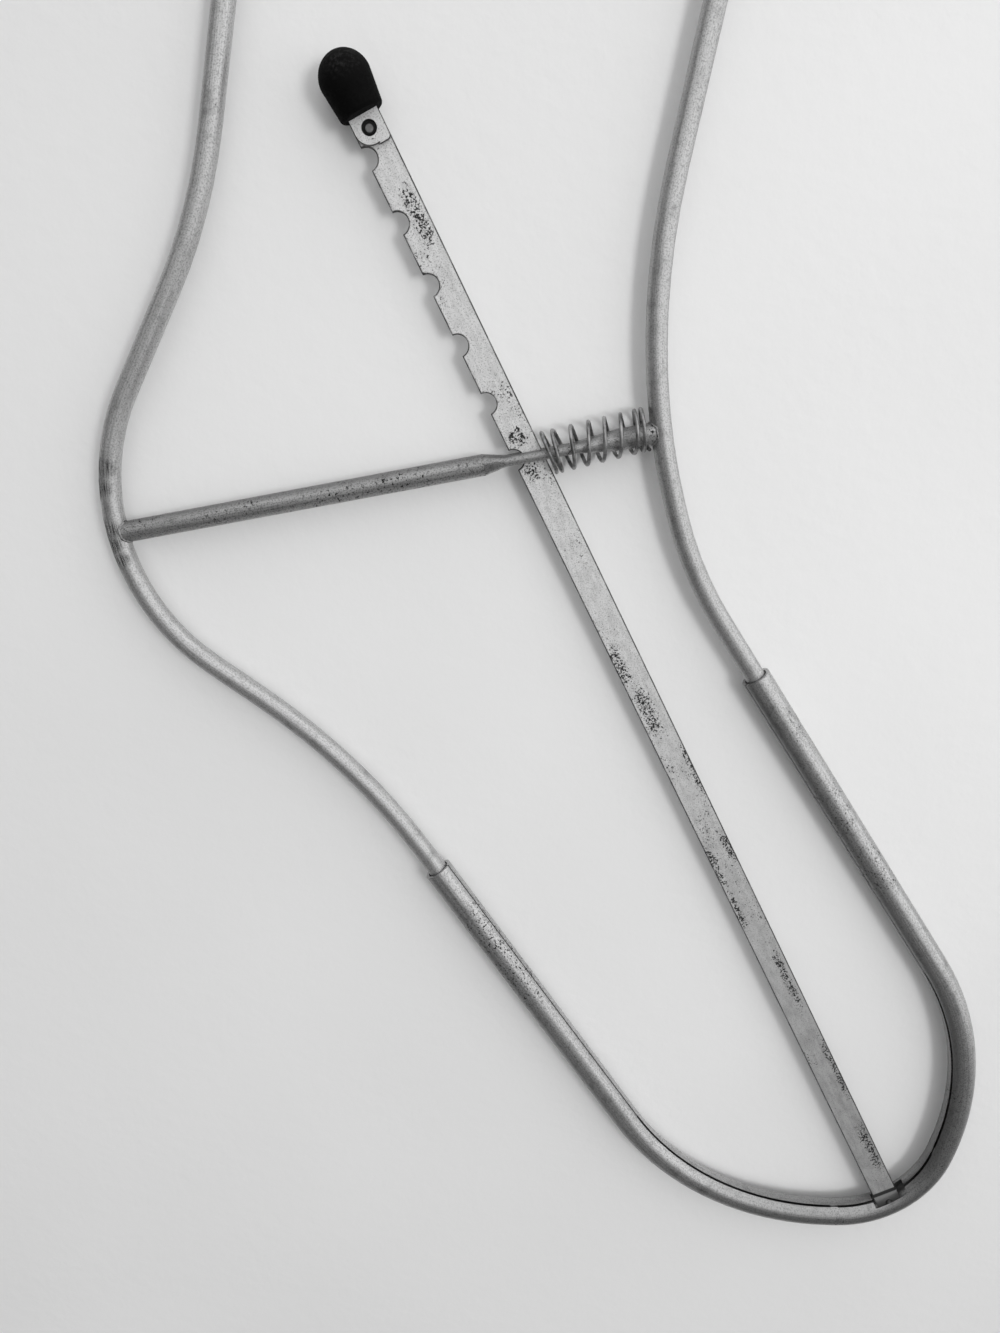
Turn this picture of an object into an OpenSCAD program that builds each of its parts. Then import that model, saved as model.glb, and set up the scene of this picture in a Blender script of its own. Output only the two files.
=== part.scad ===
// Sock stretcher: a bent rod leg frame whose tubular toe slides out and is held by a notched strip

/* [Leg frame] */
// Diameter of the leg rod
rod_d = 4.5; // [4.2:0.1:4.7]
// Distance between the two legs, centre to centre
leg_gap = 89; // [84:1:96]
// Straight length of the heel leg below the top bow
heel_leg_l = 95; // [80:1:140]
// How much higher the front leg starts to bend than the heel leg
front_lead = 10.3; // [6:0.1:16]

/* [Heel bends] */
// Outward flare of the heel leg, degrees
heel_flare = 17; // [14:0.5:20]
// Bend radius of the flare
flare_r = 106; // [95:1:120]
// Straight run between the flare and the heel
flare_l = 22.5; // [18:0.5:28]
// Bend radius of the heel
heel_r = 45.5; // [42:0.5:49]
// Straight run under the heel
sole_l = 13; // [8:0.5:18]
// Last downward bend before the toe arm, degrees
sole_turn = 19.5; // [16:0.5:23]
// Bend radius of that last bend
sole_r = 150; // [130:1:170]

/* [Instep bends] */
// Bend radius of the upper instep
instep_r = 136; // [125:1:150]
// Turn of the upper instep, degrees
instep_turn = 28; // [25:0.5:31]
// Bend radius of the lower instep
lower_instep_r = 84; // [75:1:98]

/* [Toe] */
// Slope of the toe arms below level, degrees
foot_slope = 45; // [43:0.5:47]
// Outer diameter of the toe tube
toe_d = 6.5; // [6.4:0.1:7]
// Wall of the toe tube
toe_wall = 0.7; // [0.5:0.05:0.75]
// Straight length of the heel-side arm
arm_l = 85; // [81:1:94]
// Bare rod between the last heel bend and the mouth of the tube
mouth_gap = 7; // [3:0.5:10]
// Bend radius at each side of the toe
toe_side_r = 67; // [62:1:70]
// Turn of the heel-side bend, degrees
toe_heel_turn = 55; // [52:0.5:58]
// Turn of the front-side bend, degrees
toe_front_turn = 48; // [45:0.5:51]
// How far each rod end reaches into its arm
rod_reach = 78; // [70:1:80]
// Width of the seam where the bends pull it open
seam_w = 0.6; // [0.4:0.1:0.8]
// Width of the seam along the straight arms
arm_seam_w = 0.3; // [0.2:0.1:0.4]
// How far the seam is turned towards the front from the inner side, degrees
seam_forward = 24; // [10:1:30]

/* [Crossbar] */
// Diameter of the crossbar
bar_d = 4.5; // [4.2:0.1:4.7]
// Where the bar meets the heel bend, degrees from the start of that bend
bar_heel_turn = 37.9; // [34:0.1:42]
// Where the bar meets the upper instep, degrees from the start of that bend
bar_front_turn = 21.1; // [19:0.1:23]
// Height of the flattened neck, seen from the front
neck_h = 2.1; // [1.9:0.1:2.3]
// Depth of the flattened neck, front to back
neck_depth = 6; // [5.6:0.1:6.2]
// Length of the heel-side taper
heel_taper = 4.6; // [3:0.1:6]
// Length of the front-side taper
front_taper = 9; // [6:0.1:10]
// Room in the slot for pressing the strip aside
press_room = 5.2; // [4.8:0.1:5.8]
// Distance from a rod's centre line to the end of the bar that is coped round it
bar_set_back = 1.2; // [0.8:0.1:1.6]

/* [Strip] */
// Width of the strip
strip_w = 6.3; // [6:0.1:6.5]
// Thickness of the strip
strip_t = 1.2; // [1:0.05:1.4]
// Where the strip crosses the bar, measured from the heel end
strip_at = 88.7; // [86:0.1:91]
// Where the strip enters the toe, degrees from the start of the nose bend
anchor_turn = 32.3; // [29:0.1:36]
// Step from notch to notch
notch_step = 12.7; // [12:0.1:13]
// Number of notches
notches = 6; // [4:1:6]
// Radius of a notch
notch_r = 2.2; // [2.1:0.05:2.3]
// How far the first notch lies above the bar's centre
notch_lead = 0.7; // [0.4:0.1:0.9]
// Diameter of the pin that holds the strip inside the toe
pin_d = 1.6; // [1.4:0.1:2]
// Room in the toe's opening on the heel side of the strip
opening_heel_room = 0.6; // [0.4:0.1:1]
// Room in the toe's opening on the other side of the strip
opening_toe_room = 2.2; // [1.2:0.1:2.6]
// Room in the toe's opening in front of the strip
opening_front_room = 2.1; // [1:0.1:2.2]

/* [Knob] */
// Distance from the bar to the rivet
rivet_at = 68.5; // [68:0.1:70]
// Bare metal between the rivet and the knob
rivet_to_knob = 2.6; // [2.2:0.1:3.2]
// Diameter of the knob below its dome
knob_d = 10.2; // [9.6:0.1:10.4]
// Diameter of the knob's lower end
knob_foot_d = 8.9; // [8.6:0.1:9.2]
// Length of the knob
knob_l = 11.8; // [11.4:0.1:13]
// Radius of the knob's rim
knob_rim_r = 0.8; // [0.5:0.1:1.2]
// Thickness of the tang that carries the knob
tang_t = 1.2; // [1:0.1:1.4]
// Width of the tang
tang_w = 6; // [5.8:0.1:6.2]
// How far the tang's square corner reaches below the rivet
tang_corner = 3.3; // [3:0.1:3.4]
// Radius of that corner
tang_corner_r = 0.8; // [0.5:0.1:1]
// Diameter of the rivet's shank
rivet_d = 1.8; // [1.6:0.1:1.9]
// Diameter of the rivet's head behind the strip
rivet_head_d = 2.9; // [2.7:0.1:3.2]
// Diameter of the sunk hole in the tang's face
sink_d = 2.9; // [2.7:0.1:3.1]
// Depth of that hole
sink = 0.8; // [0.6:0.1:0.9]
// Diameter of the rivet's end, set in that hole
rivet_end_d = 2.2; // [2.1:0.1:2.4]
// Height of the rivet's end
rivet_end_h = 0.35; // [0.2:0.05:0.5]

/* [Spring] */
// Outer diameter of the spring
spring_d = 9.3; // [9.2:0.1:10]
// Diameter of its wire
wire_d = 0.8; // [0.7:0.05:0.85]
// Number of curls
curls = 8; // [7:1:8]
// Advance of each closed end curl
end_step = 1.35; // [1.3:0.05:1.5]
// How far the spring's front end has ridden up on the bar
spring_rise = 1.1; // [0:0.1:1.2]

/* [Fits] */
// Gap left for braze metal where the bar meets a rod
braze_gap = 0.02; // [0.02:0.01:0.05]
// Running clearance of the pin, all round
pin_clear = 0.05; // [0.03:0.01:0.08]
// Clearance of pressed and riveted joints, all round
seat_clear = 0.02; // [0.01:0.01:0.03]
// Clearance of the strip in the slots, each side
slot_clear = 0.15; // [0.12:0.01:0.2]
// Clearance at the ends of the crossbar's slot and of the spring
end_clear = 0.3; // [0.28:0.02:0.4]

/* [Hidden] */
$fn = 64;

// A pose is [x, y, heading] in the plane of the frame. A step is [straight run, bend radius, turn].
// Bends are drawn a hair thinner than straights, and lap into them.
bend_thin = 0.01;
bend_lap = 0.4;
bend_run = 2;
function ahead(pose, run) = [pose.x + run * cos(pose[2]), pose.y + run * sin(pose[2]), pose[2]];
function turned(pose, radius, turn) =
    let (side = sign(turn), heading = pose[2])
    [pose.x + side * radius * (sin(heading + turn) - sin(heading)),
     pose.y - side * radius * (cos(heading + turn) - cos(heading)),
     heading + turn];
function pose_after(start, steps, count) =
    count == 0 ? start :
    let (step = steps[count - 1])
    turned(ahead(pose_after(start, steps, count - 1), step[0]), step[1], step[2]);
function flat(pose) = [pose.x, pose.y];

// Leg rod, from the two ends of the top bow down to the toe
rod_r = rod_d / 2;
bow_r = leg_gap / 2;
bow_start = [-bow_r, rod_r - bow_r, 90];
heel_start = [bow_start.x, bow_start.y, -90];
heel_steps = [
    [heel_leg_l, flare_r, -heel_flare],
    [flare_l, heel_r, 90 + heel_flare - foot_slope + sole_turn],
    [sole_l, sole_r, -sole_turn]
];
front_steps = [
    [0, bow_r, -180],
    [heel_leg_l - front_lead, instep_r, instep_turn],
    [bend_run, lower_instep_r, 90 - foot_slope - instep_turn]
];
heel_arm = pose_after(heel_start, heel_steps, 3);
front_arm = pose_after(bow_start, front_steps, 3);

// Toe tube, between the two lines that the rod ends lie on
arm_dir = [cos(foot_slope), -sin(foot_slope)];
arm_side = [sin(foot_slope), cos(foot_slope)];
arm_gap = (flat(front_arm) - flat(heel_arm)) * arm_side;
nose_turn = 180 - toe_heel_turn - toe_front_turn;
nose_r = (arm_gap - toe_side_r * (2 - cos(toe_heel_turn) - cos(toe_front_turn))
    - bend_run * (sin(toe_heel_turn) + sin(toe_front_turn)))
    / (cos(toe_heel_turn) + cos(toe_front_turn));
toe_start = ahead(heel_arm, mouth_gap);
toe_bends = [
    [arm_l, toe_side_r, toe_heel_turn],
    [bend_run, nose_r, nose_turn],
    [bend_run, toe_side_r, toe_front_turn]
];
toe_end = pose_after(toe_start, toe_bends, 3);
front_arm_l = (flat(toe_end) - flat(toe_start)) * arm_dir;
heel_tail = mouth_gap + rod_reach;
front_tail = (flat(toe_start) - flat(front_arm)) * arm_dir + rod_reach;

// Crossbar, from the heel bend to the upper instep
heel_bend = ahead(pose_after(heel_start, heel_steps, 1), flare_l);
instep_bend = ahead(pose_after(bow_start, front_steps, 1), heel_leg_l - front_lead);
bar_heel = turned(heel_bend, heel_r, bar_heel_turn);
bar_front = turned(instep_bend, instep_r, bar_front_turn);
bar_run = flat(bar_front) - flat(bar_heel);
bar_l = norm(bar_run);
bar_angle = atan2(bar_run.y, bar_run.x);
crossing = flat(bar_heel) + strip_at * bar_run / bar_l;

// Strip, from the pin in the toe's nose up to the knob
anchor = flat(turned(ahead(pose_after(toe_start, toe_bends, 1), bend_run), nose_r, anchor_turn));
strip_run = crossing - anchor;
strip_l = norm(strip_run);
strip_angle = atan2(strip_run.y, strip_run.x);
lean = strip_angle - bar_angle - 90;
half_chord = strip_w / 2 / cos(lean);
lean_reach = half_chord + neck_h / 2 * tan(lean);
slot_start = -lean_reach - end_clear;
slot_end = lean_reach + press_room;
slot_wall = 1;
pin_end_clear = 0.4;
pin_l = toe_d - 2 * toe_wall - 2 * pin_end_clear;
strip_tail = 1.5;
strip_top = strip_l + rivet_at + rivet_to_knob - end_clear;

// Knob, tang and rivet, on the front face of the strip
tang_z = strip_t / 2 + tang_t / 2;
knob_foot = strip_l + rivet_at + rivet_to_knob;
tang_in_knob = 8;
tang_face = strip_t / 2 + tang_t - seat_clear;
tang_corner_w = 0.4 * tang_w;
rivet_head_t = 0.45;

// Spring, round the bar between the strip and the front leg
rings_per_curl = 8;
wire_sides = 6;
coil_r = (spring_d - wire_d) / 2;
spring_start = half_chord + end_clear + wire_d / 2 / cos(lean);
spring_end = bar_l - strip_at - rod_r - end_clear - wire_d / 2;
spring_l = spring_end - spring_start;
strip_curls = 1.2;
leg_curls = 1.7;
free_curls = curls - strip_curls - leg_curls;
free_step = (spring_l - (strip_curls + leg_curls) * end_step) / free_curls;
lean_hold = 0.75;
lean_fade = 2.5;
function coil_x(t) =
    t < strip_curls ? end_step * t :
    t > curls - leg_curls ? spring_l - end_step * (curls - t) :
    end_step * strip_curls + free_step * (t - strip_curls);
function coil_point(t) =
    let (
        run = coil_x(t),
        up = -coil_r * cos(360 * t),
        fade = max(0, min(1, 1 - (t - lean_hold) / lean_fade))
    )
    [spring_start + run - up * tan(lean) * fade, up + spring_rise * run / spring_l, coil_r * sin(360 * t)];
function coil_ring(t) =
    let (centre = coil_point(t), out = [0, -cos(360 * t), sin(360 * t)])
    [for (k = [0:wire_sides - 1])
        centre + wire_d / 2 * (cos(360 * k / wire_sides) * out - sin(360 * k / wire_sides) * [1, 0, 0])];
coil_rings = curls * rings_per_curl;
coil_centres = [for (i = [0:coil_rings]) coil_point(i / rings_per_curl)];
least_gap = min([for (i = [0:coil_rings - 5], j = [i + 5:coil_rings])
    norm(coil_centres[i] - coil_centres[j])]) - wire_d;
echo(str("least gap of the spring to itself: ", least_gap, " mm"));

// Colours
aluminium = [0.73, 0.74, 0.75];
dull_aluminium = [0.66, 0.67, 0.68];
spring_steel = [0.55, 0.55, 0.56];
black_rubber = [0.05, 0.05, 0.05];

// Stands the flat drawing of the frame upright, with its front towards -Y
module upright() {
    rotate([90, 0, 0]) children();
}

// One bend from a pose: its section's x is to the left of the path and its y to the front
module bend(start, radius, turn) {
    lap = bend_lap / radius * 180 / PI;
    side = sign(turn);
    first = side > 0 ? -90 - lap : 90 + turn - lap;
    translate(flat(start)) rotate(start[2]) translate([0, side * radius]) rotate(first)
        rotate_extrude(angle = abs(turn) + 2 * lap) translate([radius, 0])
            mirror([side > 0 ? 1 : 0, 0]) children();
}

// Sweeps the first child along the straights of the steps and the second round their bends
module along(start, steps) {
    for (i = [0:len(steps) - 1]) {
        at = pose_after(start, steps, i);
        run = steps[i][0];
        if (run > 0)
            translate(flat(at)) rotate(at[2]) rotate([90, 0, 90]) linear_extrude(run) children(0);
        if (steps[i][2] != 0)
            bend(ahead(at, run), steps[i][1], steps[i][2]) children(1);
    }
}

module leg_rod() {
    heel_side = concat(heel_steps, [[heel_tail, 0, 0]]);
    front_side = concat(front_steps, [[front_tail, 0, 0]]);
    color(aluminium) upright() {
        along(heel_start, heel_side) {
            circle(rod_r);
            circle(rod_r - bend_thin);
        }
        along(bow_start, front_side) {
            circle(rod_r);
            circle(rod_r - bend_thin);
        }
    }
}

// Places children in the bar's own frame: origin where the strip crosses, x towards the front leg
module on_bar() {
    upright() translate(crossing) rotate(bar_angle) children();
}

module neck_section() {
    square([neck_h, neck_depth - neck_h], center = true);
    for (side = [-1, 1])
        translate([0, side * (neck_depth - neck_h) / 2]) circle(neck_h / 2);
}

module bar_slice(x, length) {
    translate([x, 0, 0]) rotate([90, 0, 90]) linear_extrude(length) children();
}

module bar_taper(round_x, neck_x) {
    slice = 0.02;
    hull() {
        bar_slice(round_x - slice / 2, slice) circle(bar_d / 2, $fn = 32);
        bar_slice(neck_x - slice / 2, slice) neck_section($fn = 32);
    }
}

module crossbar() {
    neck_start = slot_start - slot_wall;
    neck_end = slot_end + slot_wall;
    color(dull_aluminium) difference() {
        on_bar() difference() {
            union() {
                bar_slice(bar_set_back - strip_at, strip_at - bar_set_back + neck_start - heel_taper)
                    circle(bar_d / 2);
                bar_taper(neck_start - heel_taper, neck_start);
                bar_slice(neck_start, neck_end - neck_start) neck_section();
                bar_taper(neck_end + front_taper, neck_end);
                bar_slice(neck_end + front_taper, bar_l - strip_at - bar_set_back - neck_end - front_taper)
                    circle(bar_d / 2);
            }
            translate([slot_start, -neck_h, -strip_t / 2 - slot_clear])
                cube([slot_end - slot_start, 2 * neck_h, strip_t + 2 * slot_clear]);
        }
        upright() {
            bend(heel_bend, heel_r, heel_steps[1][2]) circle(rod_r + braze_gap);
            bend(instep_bend, instep_r, instep_turn) circle(rod_r + braze_gap);
        }
    }
}

module return_spring() {
    points = [for (i = [0:coil_rings]) each coil_ring(i / rings_per_curl)];
    last = coil_rings * wire_sides;
    walls = [for (i = [0:coil_rings - 1], k = [0:wire_sides - 1])
        let (a = i * wire_sides + k, b = i * wire_sides + (k + 1) % wire_sides)
        each [[a, b, a + wire_sides], [b, b + wire_sides, a + wire_sides]]];
    caps = [for (k = [1:wire_sides - 2]) each [[0, k + 1, k], [last, last + k, last + k + 1]]];
    color(spring_steel) on_bar() polyhedron(points, concat(walls, caps));
}

// Section of the toe tube with its seam, with every wall face drawn in by the given amount
module tube_section(seam, thin) {
    difference() {
        circle(toe_d / 2 - thin);
        circle(toe_d / 2 - toe_wall + thin);
        rotate(seam_forward) translate([0, -seam / 2]) square([toe_d, seam]);
    }
}

// Places children at the pin in the toe, x up the strip, y to its heel side and z to the front
module on_strip() {
    upright() translate(anchor) rotate(strip_angle) children();
}

module toe_tube() {
    opening_w = strip_w + opening_heel_room + opening_toe_room;
    opening_back = strip_t / 2 + slot_clear;
    opening_t = opening_back + strip_t / 2 + opening_front_room;
    color(aluminium) difference() {
        upright() along(toe_start, concat(toe_bends, [[front_arm_l, 0, 0]])) {
            tube_section(arm_seam_w, 0);
            tube_section(seam_w, bend_thin);
        }
        on_strip() translate([0, -strip_w / 2 - opening_toe_room, -opening_back])
            cube([toe_d, opening_w, opening_t]);
    }
}

module anchor_pin() {
    color(spring_steel) on_strip() cylinder(h = pin_l, d = pin_d, center = true);
}

module adjuster_strip() {
    color(aluminium) on_strip() linear_extrude(strip_t, center = true) difference() {
        translate([-strip_tail, -strip_w / 2]) square([strip_tail + strip_top, strip_w]);
        circle(pin_d / 2 + pin_clear);
        translate([strip_l + rivet_at, 0]) circle(rivet_d / 2 + seat_clear);
        for (i = [0:notches - 1])
            translate([strip_l + notch_lead + i * notch_step, strip_w / 2]) circle(notch_r);
    }
}

// Outline of the tang round the rivet: round on the heel side, with one square corner below
module tang_outline() {
    side = -tang_w / 2;
    circle(tang_w / 2);
    translate([0, side]) square([rivet_to_knob + tang_in_knob, tang_w]);
    translate([-tang_corner + tang_corner_r, side]) square([tang_corner, tang_corner_w]);
    translate([-tang_corner, side + tang_corner_r]) square([tang_corner, tang_corner_w - tang_corner_r]);
    translate([-tang_corner + tang_corner_r, side + tang_corner_r]) circle(tang_corner_r);
}

module knob_tang() {
    color(aluminium) on_strip() translate([strip_l + rivet_at, 0, 0]) difference() {
        translate([0, 0, strip_t / 2 + seat_clear])
            linear_extrude(tang_t - 2 * seat_clear) difference() {
                tang_outline();
                circle(rivet_d / 2 + seat_clear);
            }
        translate([0, 0, tang_face - sink]) cylinder(h = tang_t, d = sink_d);
    }
}

module knob_rivet() {
    back = -strip_t / 2;
    set = tang_face - sink;
    color(dull_aluminium) on_strip() translate([strip_l + rivet_at, 0, 0]) {
        translate([0, 0, back]) cylinder(h = set - back, d = rivet_d);
        translate([0, 0, set]) cylinder(h = rivet_end_h, d = rivet_end_d);
        translate([0, 0, back - rivet_head_t]) cylinder(h = rivet_head_t, d = rivet_head_d);
    }
}

module knob() {
    shoulder = knob_l - knob_d / 2;
    foot_r = knob_foot_d / 2;
    pocket_w = tang_w + 2 * seat_clear;
    color(black_rubber) on_strip() translate([knob_foot, 0, tang_z]) difference() {
        rotate([0, 90, 0]) rotate_extrude() {
            polygon([
                [0, 0],
                [foot_r - knob_rim_r, 0],
                [foot_r, knob_rim_r],
                [knob_d / 2, shoulder],
                [0, shoulder]
            ]);
            translate([foot_r - knob_rim_r, knob_rim_r]) circle(knob_rim_r);
            translate([0, shoulder]) intersection() {
                circle(knob_d / 2);
                square(knob_d);
            }
        }
        translate([-1, -pocket_w / 2, -tang_t / 2]) cube([1 + tang_in_knob + seat_clear, pocket_w, tang_t]);
    }
}

leg_rod();
crossbar();
return_spring();
toe_tube();
anchor_pin();
adjuster_strip();
knob_tang();
knob_rivet();
knob();
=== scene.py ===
import math

import bmesh
import bpy
from mathutils import Matrix, Vector


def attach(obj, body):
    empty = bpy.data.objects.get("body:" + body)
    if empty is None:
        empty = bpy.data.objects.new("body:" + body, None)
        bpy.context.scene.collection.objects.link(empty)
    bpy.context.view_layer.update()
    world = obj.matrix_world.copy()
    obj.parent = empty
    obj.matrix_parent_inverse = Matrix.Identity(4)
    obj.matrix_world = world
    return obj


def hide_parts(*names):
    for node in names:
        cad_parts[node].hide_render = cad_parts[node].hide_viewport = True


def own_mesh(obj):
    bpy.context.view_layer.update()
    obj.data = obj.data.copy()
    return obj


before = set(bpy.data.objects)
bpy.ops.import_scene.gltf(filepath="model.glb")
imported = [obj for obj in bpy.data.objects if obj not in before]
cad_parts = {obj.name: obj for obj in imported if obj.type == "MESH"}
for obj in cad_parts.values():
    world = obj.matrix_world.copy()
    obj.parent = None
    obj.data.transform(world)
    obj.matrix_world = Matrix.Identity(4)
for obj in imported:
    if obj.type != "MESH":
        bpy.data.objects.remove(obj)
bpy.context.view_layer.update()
scene = bpy.context.scene
scene.view_settings.view_transform = "Standard"
mm = 0.001
print("frame: loaded", len(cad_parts), "nodes")


# camera, as the photograph was taken
view = {
    "spot": (0.01829, -0.21209, -0.16988),
    "right": (0.98027, 0.0, 0.19766),
    "up": (-0.18933, 0.28735, 0.93893),
    "lens": 27.0,
    "sensor": 36.0,
    "nearest": 0.01,
}


def placeCamera(look):
    right, up = Vector(look["right"]).normalized(), Vector(look["up"]).normalized()
    turn = Matrix((right, up, right.cross(up))).transposed().to_4x4()
    data = bpy.data.cameras.new("viewCamera")
    data.lens = look["lens"]
    data.sensor_width = look["sensor"]
    data.clip_start = look["nearest"]
    camera = bpy.data.objects.new("viewCamera", data)
    camera.matrix_world = Matrix.Translation(look["spot"]) @ turn
    scene.collection.objects.link(camera)
    scene.camera = camera


placeCamera(view)
print("camera: placed")


# small helpers for node trees
def addNode(tree, kind, inputs=None, **settings):
    node = tree.nodes.new("ShaderNode" + kind)
    for name, value in settings.items():
        setattr(node, name, value)
    for socket, value in (inputs or {}).items():
        if isinstance(value, bpy.types.NodeSocket):
            tree.links.new(value, node.inputs[socket])
        else:
            node.inputs[socket].default_value = value
    return node


def newFinish(name):
    finish = bpy.data.materials.new(name)
    finish.use_nodes = True
    tree = finish.node_tree
    tree.nodes.clear()
    shader = addNode(tree, "BsdfPrincipled")
    out = addNode(tree, "OutputMaterial")
    tree.links.new(shader.outputs[0], out.inputs["Surface"])
    return finish, tree, shader


def figure(tree, operation, first, second=0.0):
    return addNode(tree, "Math", {0: first, 1: second}, operation=operation).outputs[0]


def spread(tree, value, low, high, outLow=0.0, outHigh=1.0):  # soft step from low to high
    inputs = {"Value": value, "From Min": low, "From Max": high, "To Min": outLow, "To Max": outHigh}
    return addNode(tree, "MapRange", inputs, interpolation_type="SMOOTHSTEP").outputs[0]


def grain(tree, where, scale, detail, rough):
    inputs = {"Vector": where, "Scale": scale, "Detail": detail, "Roughness": rough}
    return addNode(tree, "TexNoise", inputs).outputs["Fac"]


def greyMix(tree, share, first, second):  # greys or colour sockets
    inputs = {0: share}
    for slotNumber, value in ((6, first), (7, second)):
        inputs[slotNumber] = (value, value, value, 1.0) if isinstance(value, float) else value
    return addNode(tree, "Mix", inputs, data_type="RGBA").outputs[2]


def raised(tree, height, depth, strength=1.0):  # bump, depth in metres
    inputs = {"Height": height, "Distance": depth, "Strength": strength}
    return addNode(tree, "Bump", inputs).outputs[0]


def vectorMath(tree, operation, first, second):
    return addNode(tree, "VectorMath", {0: first, 1: second}, operation=operation).outputs[0]


def vectorFigure(tree, operation, first, second=(0.0, 0.0, 0.0)):
    return addNode(tree, "VectorMath", {0: first, 1: second}, operation=operation).outputs["Value"]


def lengthwise(tree, around, along):  # runs with a bent rod, because its normal turns round it
    coords = addNode(tree, "TexCoord")
    turned = vectorMath(tree, "MULTIPLY", coords.outputs["Normal"], (around,) * 3)
    run = vectorMath(tree, "MULTIPLY", coords.outputs["Object"], (along,) * 3)
    return vectorMath(tree, "ADD", turned, run)


def objectPlace(tree):
    return addNode(tree, "TexCoord").outputs["Object"]


def outward(tree):
    return addNode(tree, "TexCoord").outputs["Normal"]


def along(tree, direction, start):  # distance along a direction, in metres
    move = vectorMath(tree, "SUBTRACT", objectPlace(tree), start)
    return vectorFigure(tree, "DOT_PRODUCT", move, direction)


def nearSpot(tree, centre, reach, core=0.3):  # 1 within the core's share of the reach, 0 past the reach
    return spread(tree, vectorFigure(tree, "DISTANCE", objectPlace(tree), centre), reach, core * reach)


# looks: a noise is scale, detail and roughness; a cut is low, high and what they give, if not 0 and 1
# drawn aluminium: the rod, the toe tube and the crossbar
# each look's side and side cut paint shade: faces that look to that side are darkened towards the dark tone
drawnMetal = {
    "streaks": (1.0, 4.0, 0.6), "streakCut": (0.34, 0.64), "dieLines": (1.0, 3.0, 0.6), "dieRun": 0.5,
    "dieCut": (0.55, 0.72, 0.0, 0.35), "dieRelief": 0.6, "mottle": (260.0, 5.0, 0.65),
    "mottleCut": (0.52, 0.74, 0.0, 0.55), "speckle": (3200.0, 2.0, 0.6), "pitRough": 0.3,
    "grimeCut": (0.44, 0.53), "grimes": [], "worn": [],
}
rodLook = {
    **drawnMetal, "tone": (0.48, 0.62), "darkTone": 0.20, "pit": 0.02, "metal": 0.9, "relief": 0.00003,
    "streakTurn": 9.0, "dieTurn": 42.0, "run": 22.0, "fine": (2200.0, 2.0, 0.5), "fineCut": (0.66, 0.74),
    "patches": (38.0, 3.0, 0.6), "patchCut": (0.56, 0.72), "roughCut": (0.3, 0.7, 0.36, 0.48),
    "speckleCut": (0.46, 0.66, 0.0, 0.6), "shadedSide": (-0.80, 0.0, -0.60), "shadedSideCut": (0.2, 0.8, 0.0, 0.35),
    "grimes": [  # at the heel: place, reach
        ((-0.0581, -0.0015, -0.2059), 0.0030), ((-0.0583, -0.0015, -0.2101), 0.0030),
        ((-0.0559, -0.0015, -0.2186), 0.0032), ((-0.0550, -0.0015, -0.2217), 0.0032),
        ((-0.0529, -0.0015, -0.2245), 0.0026),
    ],
}
tubeLook = {
    **drawnMetal, "tone": (0.48, 0.62), "darkTone": 0.16, "pit": 0.015, "metal": 1.0, "relief": 0.00004,
    "streakTurn": 8.0, "dieTurn": 38.0, "run": 16.0, "fine": (1900.0, 2.0, 0.5), "fineCut": (0.57, 0.66),
    "patches": (30.0, 3.0, 0.6), "patchCut": (0.46, 0.62), "roughCut": (0.3, 0.7, 0.30, 0.40),
    "speckleCut": (0.46, 0.66, 0.0, 0.65), "shadedSide": (-0.80, 0.0, -0.60), "shadedSideCut": (0.2, 0.8, 0.0, 0.75),
    "worn": [((0.155, -0.002, -0.355), 0.060, 0.5)],  # the nose: place, reach, share
}
barLook = {
    **drawnMetal, "tone": (0.32, 0.44), "darkTone": 0.12, "pit": 0.015, "metal": 0.8, "relief": 0.00005,
    "streakTurn": 6.0, "dieTurn": 30.0, "run": 60.0, "fine": (1700.0, 2.0, 0.5), "fineCut": (0.58, 0.68),
    "patches": (90.0, 3.0, 0.6), "patchCut": (0.44, 0.64), "roughCut": (0.3, 0.7, 0.34, 0.48),
    "speckleCut": (0.46, 0.66, 0.0, 0.75), "shadedSide": (-0.37, 0.0, 0.93), "shadedSideCut": (0.2, 0.8, 0.0, 0.55),
}


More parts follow.
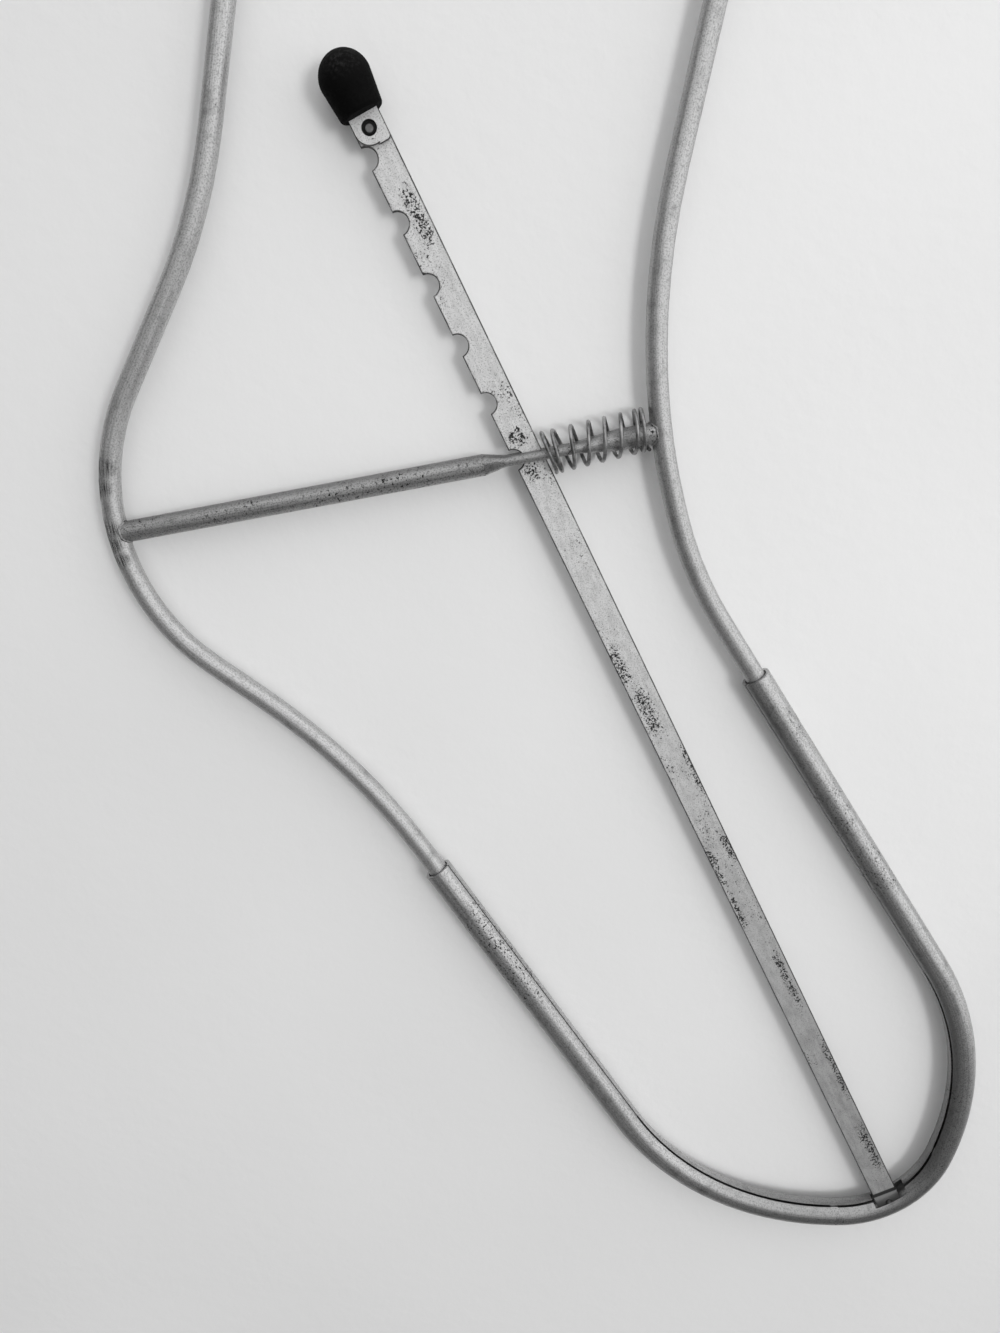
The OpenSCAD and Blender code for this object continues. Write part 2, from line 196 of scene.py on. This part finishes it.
def drawnFinish(name, look):
    finish, tree, shader = newFinish(name)
    place = objectPlace(tree)
    streaks = grain(tree, lengthwise(tree, look["streakTurn"], look["run"]), *look["streaks"])
    dieLines = grain(tree, lengthwise(tree, look["dieTurn"], look["run"] * look["dieRun"]), *look["dieLines"])
    fine = spread(tree, grain(tree, place, *look["fine"]), *look["fineCut"])
    patches = spread(tree, grain(tree, place, *look["patches"]), *look["patchCut"])
    pits = figure(tree, "MULTIPLY", fine, patches)
    for centre, reach in look["grimes"]:  # dirt drawn out along the rod
        smear = spread(tree, dieLines, *look["grimeCut"])
        pits = figure(tree, "MAXIMUM", pits, figure(tree, "MULTIPLY", nearSpot(tree, centre, reach), smear))
    darkenings = [
        spread(tree, grain(tree, place, *look["mottle"]), *look["mottleCut"]),
        spread(tree, dieLines, *look["dieCut"]),
        spread(tree, grain(tree, place, *look["speckle"]), *look["speckleCut"]),
        # painted shade: faces that look to one side, picked by their normal, are darkened
        spread(tree, vectorFigure(tree, "DOT_PRODUCT", outward(tree), look["shadedSide"]), *look["shadedSideCut"]),
    ]
    for centre, reach, share in look["worn"]:
        darkenings.append(figure(tree, "MULTIPLY", nearSpot(tree, centre, reach), share))
    metal = greyMix(tree, spread(tree, streaks, *look["streakCut"]), *look["tone"])
    # mixes in the stains, die lines, speckle, nose wear and the painted shade of one side
    for share in darkenings:
        metal = greyMix(tree, share, metal, look["darkTone"])
    tree.links.new(greyMix(tree, pits, metal, look["pit"]), shader.inputs["Base Color"])
    pitted = figure(tree, "MULTIPLY", pits, look["pitRough"])
    dullness = figure(tree, "ADD", spread(tree, streaks, *look["roughCut"]), pitted)
    tree.links.new(dullness, shader.inputs["Roughness"])
    height = figure(tree, "SUBTRACT", figure(tree, "MULTIPLY", dieLines, look["dieRelief"]), pits)
    tree.links.new(raised(tree, height, look["relief"]), shader.inputs["Normal"])
    shader.inputs["Metallic"].default_value = look["metal"]
    return finish


# notched strip and the knob's tang: pale matt face, sheared dark edges, corrosion in clusters
stripPlace = {
    "crossing": (0.027637, 0.0, -0.186315),
    "up": (-0.61569, 0.0, 0.78799),  # towards the knob
    "heelward": (-0.78799, 0.0, -0.61569),
    "rivet": 0.0685,  # up from the crossing
    "half": 0.00315,
    "notch": {"first": 0.0007, "step": 0.0127, "radius": 0.0022, "last": 0.068},
}
shearedMetal = {
    "rolled": (900.0, 4.0, 0.62), "rolledRun": 0.22, "rolledRelief": 0.35, "relief": 0.00004,
    "mottle": (420.0, 5.0, 0.7), "fine": (2600.0, 3.0, 0.6), "broad": (55.0, 3.0, 0.6),
    "top": (0.58, 0.74), "toe": (0.28, 0.40), "toeward": (-0.01, -0.21), "toneCut": (0.36, 0.62),
    "darkTone": 0.18, "stainCut": (0.50, 0.72), "stainWear": (0.0, 1.0, 0.16, 0.75),
    "speckle": (3400.0, 2.0, 0.6), "speckleCut": (0.50, 0.68, 0.0, 0.6),
    "pit": 0.02, "pitCut": (0.67, 0.73), "pitWear": 0.20, "wearCut": (0.50, 0.68, 0.0, 0.6),
    "edge": 0.03, "edgeCut": (0.92, 0.55), "edgeBreak": (0.30, 0.60, 0.75, 1.0),
    "metal": 0.3, "roughCut": (0.3, 0.7, 0.52, 0.66), "clusterCore": (0.3, 0.2), "clusters": [],
}
stripLook = {
    **shearedMetal, "lip": 0.00036, "lipCore": 0.4, "lipBreak": (0.30, 0.55, 0.55, 1.0),
    # past the toe's lip the strip's end is painted a flat grey, with a painted shadow line where it enters
    # the toe
    "foot": -0.2119, "footTone": 0.3, "footLine": (0.0007, 0.00042),
    "clusters": [  # along from the crossing, reach, across to the heel side, reach, in mm
        (51.0, 9.0, -1.0, 2.4), (4.6, 3.2, 0.2, 3.4), (-3.0, 3.0, 0.6, 2.6),
        (-50.0, 8.0, 2.0, 2.2), (-62.0, 10.0, 0.6, 3.0), (-80.0, 12.0, -2.6, 1.1),
        (-101.0, 7.0, -2.2, 1.8), (-105.0, 10.0, 2.3, 1.6), (-118.0, 8.0, 2.2, 1.3),
        (-140.0, 14.0, -1.2, 1.6), (-170.0, 16.0, -2.4, 1.4), (-196.0, 12.0, -1.6, 2.0),
    ],
}
# the walls of the tang's rivet hole are darkened: painted shade, with some dirt
tangLook = {**shearedMetal, "sink": (0.00152, 0.00142), "dirtAndShade": 0.012}


def flatPlace(tree, u, v):
    return addNode(tree, "CombineXYZ", {0: u, 1: v}).outputs[0]


def apart(tree, value, middle):
    return figure(tree, "ABSOLUTE", figure(tree, "SUBTRACT", value, middle))


def fromRivet(tree, where):  # distance out from the rivet's middle
    u = figure(tree, "SUBTRACT", along(tree, where["up"], where["crossing"]), where["rivet"])
    v = along(tree, where["heelward"], where["crossing"])
    return vectorFigure(tree, "LENGTH", flatPlace(tree, u, v))


def notchRims(tree, u, v, look, where):
    notch = where["notch"]
    inputs = {0: figure(tree, "SUBTRACT", u, notch["first"]), 1: -notch["step"] / 2, 2: notch["step"] / 2}
    du = addNode(tree, "Math", inputs, operation="WRAP").outputs[0]
    gap = vectorFigure(tree, "LENGTH", flatPlace(tree, du, figure(tree, "SUBTRACT", v, where["half"])))
    rim = spread(tree, gap, notch["radius"] + look["lip"], notch["radius"] + look["lipCore"] * look["lip"])
    above = figure(tree, "GREATER_THAN", u, notch["first"] - notch["step"] / 2)
    below = figure(tree, "LESS_THAN", u, notch["last"])
    return figure(tree, "MULTIPLY", rim, figure(tree, "MULTIPLY", above, below))


def stripWear(tree, u, v, look):
    wear = spread(tree, grain(tree, objectPlace(tree), *look["broad"]), *look["wearCut"])
    uCore, vCore = look["clusterCore"]
    for uMid, uReach, vMid, vReach in look["clusters"]:
        inU = spread(tree, apart(tree, u, uMid * mm), uReach * mm, uReach * mm * uCore)
        inV = spread(tree, apart(tree, v, vMid * mm), vReach * mm, vReach * mm * vCore)
        wear = figure(tree, "MAXIMUM", wear, figure(tree, "MULTIPLY", inU, inV))
    return wear


# dark rims, and a painted shadow line where the strip enters the toe; the strip's end past that line is
# painted a flat grey
def stripLines(tree, metal, mottle, u, v, look, where):
    half, lip = where["half"], look["lip"]
    rim = spread(tree, figure(tree, "ABSOLUTE", v), half - lip, half - look["lipCore"] * lip)
    rim = figure(tree, "MAXIMUM", rim, notchRims(tree, u, v, look, where))
    rim = figure(tree, "MULTIPLY", rim, spread(tree, mottle, *look["lipBreak"]))
    rim = figure(tree, "MULTIPLY", rim, figure(tree, "GREATER_THAN", u, look["foot"]))
    metal = greyMix(tree, rim, metal, look["edge"])
    # painted flat grey on the strip's end, then the painted shadow line at the toe's lip
    metal = greyMix(tree, figure(tree, "LESS_THAN", u, look["foot"]), metal, look["footTone"])
    paintedEntryShadow = spread(tree, apart(tree, u, look["foot"]), *look["footLine"])
    return greyMix(tree, paintedEntryShadow, metal, look["edge"])


def stripFinish(name, look, where):
    finish, tree, shader = newFinish(name)
    u = along(tree, where["up"], where["crossing"])
    v = along(tree, where["heelward"], where["crossing"])
    place = objectPlace(tree)
    rolled = grain(tree, flatPlace(tree, figure(tree, "MULTIPLY", u, look["rolledRun"]), v), *look["rolled"])
    mottle = grain(tree, place, *look["mottle"])
    wear = stripWear(tree, u, v, look)
    pitLevel = figure(tree, "MULTIPLY", wear, look["pitWear"])
    pitLevel = figure(tree, "ADD", grain(tree, place, *look["fine"]), pitLevel)
    pits = spread(tree, pitLevel, *look["pitCut"])
    darkenings = spread(tree, wear, *look["stainWear"])
    darkenings = figure(tree, "MULTIPLY", spread(tree, mottle, *look["stainCut"]), darkenings)
    speckle = spread(tree, grain(tree, place, *look["speckle"]), *look["speckleCut"])
    shade = figure(tree, "MULTIPLY", figure(tree, "ADD", rolled, mottle), 0.5)  # their mean
    shade = spread(tree, shade, *look["toneCut"])
    top, toe = greyMix(tree, shade, *look["top"]), greyMix(tree, shade, *look["toe"])
    metal = greyMix(tree, spread(tree, u, *look["toeward"]), top, toe)
    metal = greyMix(tree, figure(tree, "MAXIMUM", darkenings, speckle), metal, look["darkTone"])
    metal = greyMix(tree, pits, metal, look["pit"])
    if "foot" in look:
        metal = stripLines(tree, metal, mottle, u, v, look, where)
    facing = addNode(tree, "SeparateXYZ", {0: outward(tree)}).outputs[1]
    sheared = spread(tree, figure(tree, "ABSOLUTE", facing), *look["edgeCut"])
    sheared = figure(tree, "MULTIPLY", sheared, spread(tree, mottle, *look["edgeBreak"]))
    metal = greyMix(tree, sheared, metal, look["edge"])
    if "sink" in look:  # painted shade, with some dirt, on the walls of the rivet's hole
        metal = greyMix(tree, spread(tree, fromRivet(tree, where), *look["sink"]), metal, look["dirtAndShade"])
    tree.links.new(metal, shader.inputs["Base Color"])
    tree.links.new(spread(tree, mottle, *look["roughCut"]), shader.inputs["Roughness"])
    height = figure(tree, "SUBTRACT", figure(tree, "MULTIPLY", rolled, look["rolledRelief"]), pits)
    tree.links.new(raised(tree, height, look["relief"]), shader.inputs["Normal"])
    shader.inputs["Metallic"].default_value = look["metal"]
    return finish


# rubber knob, dusty on its round end
knobLook = {
    "rubber": 0.0025, "dust": 0.022, "dustCut": (0.40, 0.72), "end": (-0.0222, -0.0045, -0.1212),
    "reach": 0.007, "speck": (1500.0, 4.0, 0.65), "roughCut": (0.3, 0.7, 0.75, 0.95), "relief": 0.00005,
    "shine": 0.08,
}


def rubberFinish(name, look):
    finish, tree, shader = newFinish(name)
    speck = grain(tree, objectPlace(tree), *look["speck"])
    dust = spread(tree, speck, *look["dustCut"])
    dust = figure(tree, "MULTIPLY", nearSpot(tree, look["end"], look["reach"]), dust)
    tree.links.new(greyMix(tree, dust, look["rubber"], look["dust"]), shader.inputs["Base Color"])
    tree.links.new(spread(tree, speck, *look["roughCut"]), shader.inputs["Roughness"])
    tree.links.new(raised(tree, speck, look["relief"]), shader.inputs["Normal"])
    shader.inputs["Specular IOR Level"].default_value = look["shine"]
    return finish


# spring wire, rivet and pin
bareWire = {
    "cloud": (330.0, 4.0, 0.65), "cloudCut": (0.34, 0.64), "speck": (1300.0, 3.0, 0.6),
    "dirtCut": (0.60, 0.72), "relief": 0.00003,
}
wireLook = {**bareWire, "tone": (0.15, 0.42), "dirtAndShade": 0.02, "roughCut": (0.3, 0.7, 0.28, 0.5), "metal": 0.95}
rivetLook = {
    **bareWire, "tone": (0.12, 0.30), "dirtAndShade": 0.012, "roughCut": (0.3, 0.7, 0.4, 0.6), "metal": 0.7,
    # painted shade: the rivet end is darkened outside its middle, where it sits in the tang's hole
    "core": (0.00060, 0.00085),
}


def wireFinish(name, look):
    finish, tree, shader = newFinish(name)
    place = objectPlace(tree)
    cloud = grain(tree, place, *look["cloud"])
    speck = grain(tree, place, *look["speck"])
    dirtAndShade = spread(tree, speck, *look["dirtCut"])
    if "core" in look:  # painted shade round the rivet end, where it sits down in the hole; only its middle stays light
        dirtAndShade = figure(tree, "MAXIMUM", dirtAndShade, spread(tree, fromRivet(tree, stripPlace), *look["core"]))
    steel = greyMix(tree, spread(tree, cloud, *look["cloudCut"]), *look["tone"])
    tree.links.new(greyMix(tree, dirtAndShade, steel, look["dirtAndShade"]), shader.inputs["Base Color"])
    tree.links.new(spread(tree, cloud, *look["roughCut"]), shader.inputs["Roughness"])
    tree.links.new(raised(tree, speck, look["relief"]), shader.inputs["Normal"])
    shader.inputs["Metallic"].default_value = look["metal"]
    return finish


def dress(node, finish):
    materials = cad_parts[node].data.materials
    materials.clear()
    materials.append(finish)


barFinish = drawnFinish("dullBar", barLook)
springFinish = wireFinish("springWire", wireLook)
finishes = {
    "leg_rod": drawnFinish("drawnRod", rodLook),
    "toe_tube": drawnFinish("rolledTube", tubeLook),
    "crossbar": barFinish,
    "adjuster_strip": stripFinish("notchedStrip", stripLook, stripPlace),
    "knob_tang": stripFinish("knobTang", tangLook, stripPlace),
    "knob_rivet": wireFinish("setRivet", rivetLook),
    "knob": rubberFinish("blackRubber", knobLook),
    "anchor_pin": springFinish,
}
for node, finish in finishes.items():
    dress(node, finish)
print("finishes: set on", len(finishes), "nodes")


# broken edges on the sheared pieces
edges = {
    "widths": {"adjuster_strip": 0.0002, "knob_tang": 0.00012, "knob_rivet": 0.00008},
    "weld": 0.000001, "flat": math.radians(0.5), "sharp": math.radians(35), "segments": 2,
}


def breakEdges(node, width, look):
    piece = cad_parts[node]
    weld = piece.modifiers.new("weld", "WELD")
    weld.merge_threshold = look["weld"]
    flatten = piece.modifiers.new("wholeFaces", "DECIMATE")  # one face for each flat side
    flatten.decimate_type = "DISSOLVE"
    flatten.angle_limit = look["flat"]
    bevel = piece.modifiers.new("brokenEdge", "BEVEL")
    bevel.width = width
    bevel.segments = look["segments"]
    bevel.limit_method = "ANGLE"
    bevel.angle_limit = look["sharp"]
    bevel.harden_normals = True


for node, width in edges["widths"].items():
    breakEdges(node, width, edges)
print("edges: broken on", len(edges["widths"]), "pieces")


# the crossbar's own axes: along it to the front leg, up the leg, and out to the front
barTilt = math.radians(21.826)
barAlong = Vector((math.cos(barTilt), 0.0, math.sin(barTilt)))
barUp = Vector((-math.sin(barTilt), 0.0, math.cos(barTilt)))
barFront = Vector((0.0, -1.0, 0.0))
barEnds = {"heel": Vector((-0.0547045, 0.0, -0.219293)), "front": Vector((0.053618, 0.0, -0.17591))}


def addPiece(name, mesh, finish, body):
    piece = bpy.data.objects.new(name, mesh)
    scene.collection.objects.link(piece)
    mesh.materials.append(finish)
    for face in mesh.polygons:
        face.use_smooth = True
    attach(piece, body)
    return piece


def sweptTube(name, centres, outs, radius, sides, closed):  # round tube through points
    form = bmesh.new()
    count = len(centres)
    turns = [2 * math.pi * k / sides for k in range(sides)]
    rings = []
    for i, (centre, out) in enumerate(zip(centres, outs)):
        before = centres[i - 1] if closed or i > 0 else centre
        after = centres[(i + 1) % count] if closed or i < count - 1 else centre
        heading = (after - before).normalized()
        out = (out - heading * out.dot(heading)).normalized()
        side = heading.cross(out)
        spokes = [math.cos(a) * out + math.sin(a) * side for a in turns]
        rings.append([form.verts.new(centre + radius * spoke) for spoke in spokes])
    spans = list(zip(rings, rings[1:])) + ([(rings[-1], rings[0])] if closed else [])
    for first, second in spans:
        for k in range(sides):
            n = (k + 1) % sides
            form.faces.new((first[k], first[n], second[n], second[k]))
    if not closed:
        form.faces.new(list(reversed(rings[0])))
        form.faces.new(rings[-1])
    bmesh.ops.recalc_face_normals(form, faces=form.faces)
    mesh = bpy.data.meshes.new(name)
    form.to_mesh(mesh)
    form.free()
    return mesh


# return spring, wound on the crossbar between the strip and the front leg
spring = {
    "start": 0.003996, "length": 0.021041, "coil": 0.00425, "wire": 0.0004, "curls": 8, "stripCurls": 1.2,
    "legCurls": 1.7, "endStep": 0.00135, "rise": 0.0011, "lean": math.radians(16.177), "leanHold": 0.75,
    "leanCurls": 2.5, "rings": 32, "sides": 10, "keep": 0.79,
}


def springRun(t, size):  # how far along the spring its wire is after t curls, close at both ends
    firstFree, lastFree = size["stripCurls"], size["curls"] - size["legCurls"]
    freeStep = (size["length"] - (firstFree + size["legCurls"]) * size["endStep"]) / (lastFree - firstFree)
    if t < firstFree:
        return size["endStep"] * t
    if t > lastFree:
        return size["length"] - size["endStep"] * (size["curls"] - t)
    return size["endStep"] * firstFree + freeStep * (t - firstFree)


def coilSpring(size):
    crossing = Vector(stripPlace["crossing"])
    centres, outs = [], []
    for i in range(size["curls"] * size["rings"] + 1):
        t = i / size["rings"]
        run = springRun(t, size)
        up, front = -math.cos(2 * math.pi * t), math.sin(2 * math.pi * t)
        lying = 1 - (t - size["leanHold"]) / size["leanCurls"]  # the first curls lie on the strip
        lying = max(0.0, min(1.0, lying))
        rise = size["rise"] * run / size["length"]
        run += size["start"] - size["coil"] * up * math.tan(size["lean"]) * lying
        out = up * barUp + front * barFront
        centres.append(crossing + run * barAlong + rise * barUp + size["coil"] * out)
        outs.append(out)
    mesh = sweptTube("springCoil", centres, outs, size["wire"], size["sides"], False)
    piece = addPiece("springCoil", mesh, springFinish, "leg_frame")
    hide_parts("return_spring")
    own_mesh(piece)


coilSpring(spring)
print("spring: wound")


# brazed joints, a thin fillet where the crossbar meets the rod
braze = {"rod": 0.00225, "bar": 0.00222, "setBack": 0.0012, "bead": 0.00028, "points": 72, "sides": 8}


def brazeFillet(name, end, inward, size):
    centres, outs = [], []
    for i in range(size["points"]):
        a = 2 * math.pi * i / size["points"]
        out = math.cos(a) * barUp + math.sin(a) * barFront
        gap = math.sqrt(max(0.0, size["rod"] ** 2 - (size["bar"] * math.sin(a)) ** 2))
        centres.append(end + inward * max(size["setBack"], gap) + size["bar"] * out)
        outs.append(out)
    mesh = sweptTube(name, centres, outs, size["bead"], size["sides"], True)
    addPiece(name, mesh, barFinish, "leg_frame")


brazeFillet("heelBraze", barEnds["heel"], barAlong, braze)
brazeFillet("frontBraze", barEnds["front"], -barAlong, braze)
print("braze: two fillets laid")


# wall behind the part; a round pale backdrop and a floor for the other sides
stage = {"wallAt": 0.00475, "floorAt": -1.0, "reach": 1.3, "coveReach": 2.4, "coveTop": 2.6, "coveSides": 96}
paint = {
    "cloud": (9.0, 2.0, 0.5), "cloudCut": (0.3, 0.7), "cloudStep": 0.015, "roller": (230.0, 3.0, 0.55),
    "rollerDepth": 0.0002, "rollerShare": 0.6, "rough": 0.5, "shine": 0.3,
}
wallPaint = {**paint, "tone": 0.80, "glow": 0.0}
covePaint = {**paint, "tone": 0.06, "glow": 0.62}


def paintedFinish(name, look):
    finish, tree, shader = newFinish(name)
    place = objectPlace(tree)
    cloud = spread(tree, grain(tree, place, *look["cloud"]), *look["cloudCut"])
    shade = greyMix(tree, cloud, look["tone"] - look["cloudStep"], look["tone"] + look["cloudStep"])
    tree.links.new(shade, shader.inputs["Base Color"])
    roller = raised(tree, grain(tree, place, *look["roller"]), look["rollerDepth"], look["rollerShare"])
    tree.links.new(roller, shader.inputs["Normal"])
    shader.inputs["Roughness"].default_value = look["rough"]
    shader.inputs["Specular IOR Level"].default_value = look["shine"]
    shader.inputs["Emission Color"].default_value = (1.0, 1.0, 1.0, 1.0)
    shader.inputs["Emission Strength"].default_value = look["glow"]
    clear = addNode(tree, "BsdfTransparent")  # nothing to see from behind
    back = addNode(tree, "NewGeometry").outputs["Backfacing"]
    sides = addNode(tree, "MixShader", {0: back, 1: shader.outputs[0], 2: clear.outputs[0]})
    out = next(n for n in tree.nodes if n.type == "OUTPUT_MATERIAL")
    tree.links.new(sides.outputs[0], out.inputs["Surface"])
    return finish


def sheet(name, corners, faces, finish):
    mesh = bpy.data.meshes.new(name)
    mesh.from_pydata(corners, [], faces)
    mesh.materials.append(finish)
    for face in mesh.polygons:
        face.use_smooth = True
    piece = bpy.data.objects.new(name, mesh)
    scene.collection.objects.link(piece)
    return piece


def seenOnly(piece):  # leaves the room's light and the metal's reflections alone
    piece.visible_diffuse = False
    piece.visible_glossy = False
    piece.visible_transmission = False
    piece.visible_shadow = False


def flatWall(size, finish):
    reach, y, foot = size["reach"], size["wallAt"], size["floorAt"]
    corners = [(-reach, y, foot), (reach, y, foot), (reach, y, reach), (-reach, y, reach)]
    sheet("wall", corners, [(0, 1, 2, 3)], finish)


def roundBackdrop(size, finish):
    count = size["coveSides"]
    turns = [2 * math.pi * i / count for i in range(count)]
    rim = [(size["coveReach"] * math.cos(a), size["coveReach"] * math.sin(a)) for a in turns]
    corners = [(x, y, size["floorAt"]) for x, y in rim] + [(x, y, size["coveTop"]) for x, y in rim]
    faces = [((i + 1) % count, i, count + i, count + (i + 1) % count) for i in range(count)]
    seenOnly(sheet("backdrop", corners, faces, finish))
    seenOnly(sheet("floor", corners[:count], [tuple(range(count))], finish))


flatWall(stage, paintedFinish("wallPaint", wallPaint))
roundBackdrop(stage, paintedFinish("covePaint", covePaint))
print("stage: wall, backdrop and floor up")


# light: a window to the right, in a room that is bright above and on that side, dark on the other
window = {
    "aim": (0.11, 0.0, -0.12), "azimuth": 22, "height": 6, "far": 0.90, "wide": 0.20, "tall": 0.28,
    "spread": 66, "power": 0.40,
}
room = {"towards": (0.38, -0.25, 0.89), "turn": (0.02, 0.48), "tones": (0.20, 1.25)}


def windowLight(look):
    turn, rise = math.radians(look["azimuth"]), math.radians(look["height"])
    back = Vector((math.sin(turn) * math.cos(rise), -math.cos(turn) * math.cos(rise), math.sin(rise)))
    data = bpy.data.lights.new("window", "AREA")
    data.shape = "RECTANGLE"
    data.size, data.size_y = look["wide"], look["tall"]
    data.energy = look["power"]
    data.spread = math.radians(look["spread"])
    lamp = bpy.data.objects.new("window", data)
    lamp.location = Vector(look["aim"]) + back * look["far"]
    lamp.rotation_euler = (-back).to_track_quat("-Z", "Y").to_euler()
    lamp.visible_glossy = False  # the metal shows the room
    scene.collection.objects.link(lamp)


def roomLight(look):
    world = bpy.data.worlds.new("room")
    scene.world = world
    world.use_nodes = True
    tree = world.node_tree
    tree.nodes.clear()
    heading = addNode(tree, "TexCoord").outputs["Generated"]
    bearing = vectorFigure(tree, "DOT_PRODUCT", heading, look["towards"])
    tone = greyMix(tree, spread(tree, bearing, *look["turn"]), *look["tones"])
    sky = addNode(tree, "Background", {"Color": tone})
    tree.links.new(sky.outputs[0], addNode(tree, "OutputWorld").inputs["Surface"])


windowLight(window)
roomLight(room)
print("light: window and room")
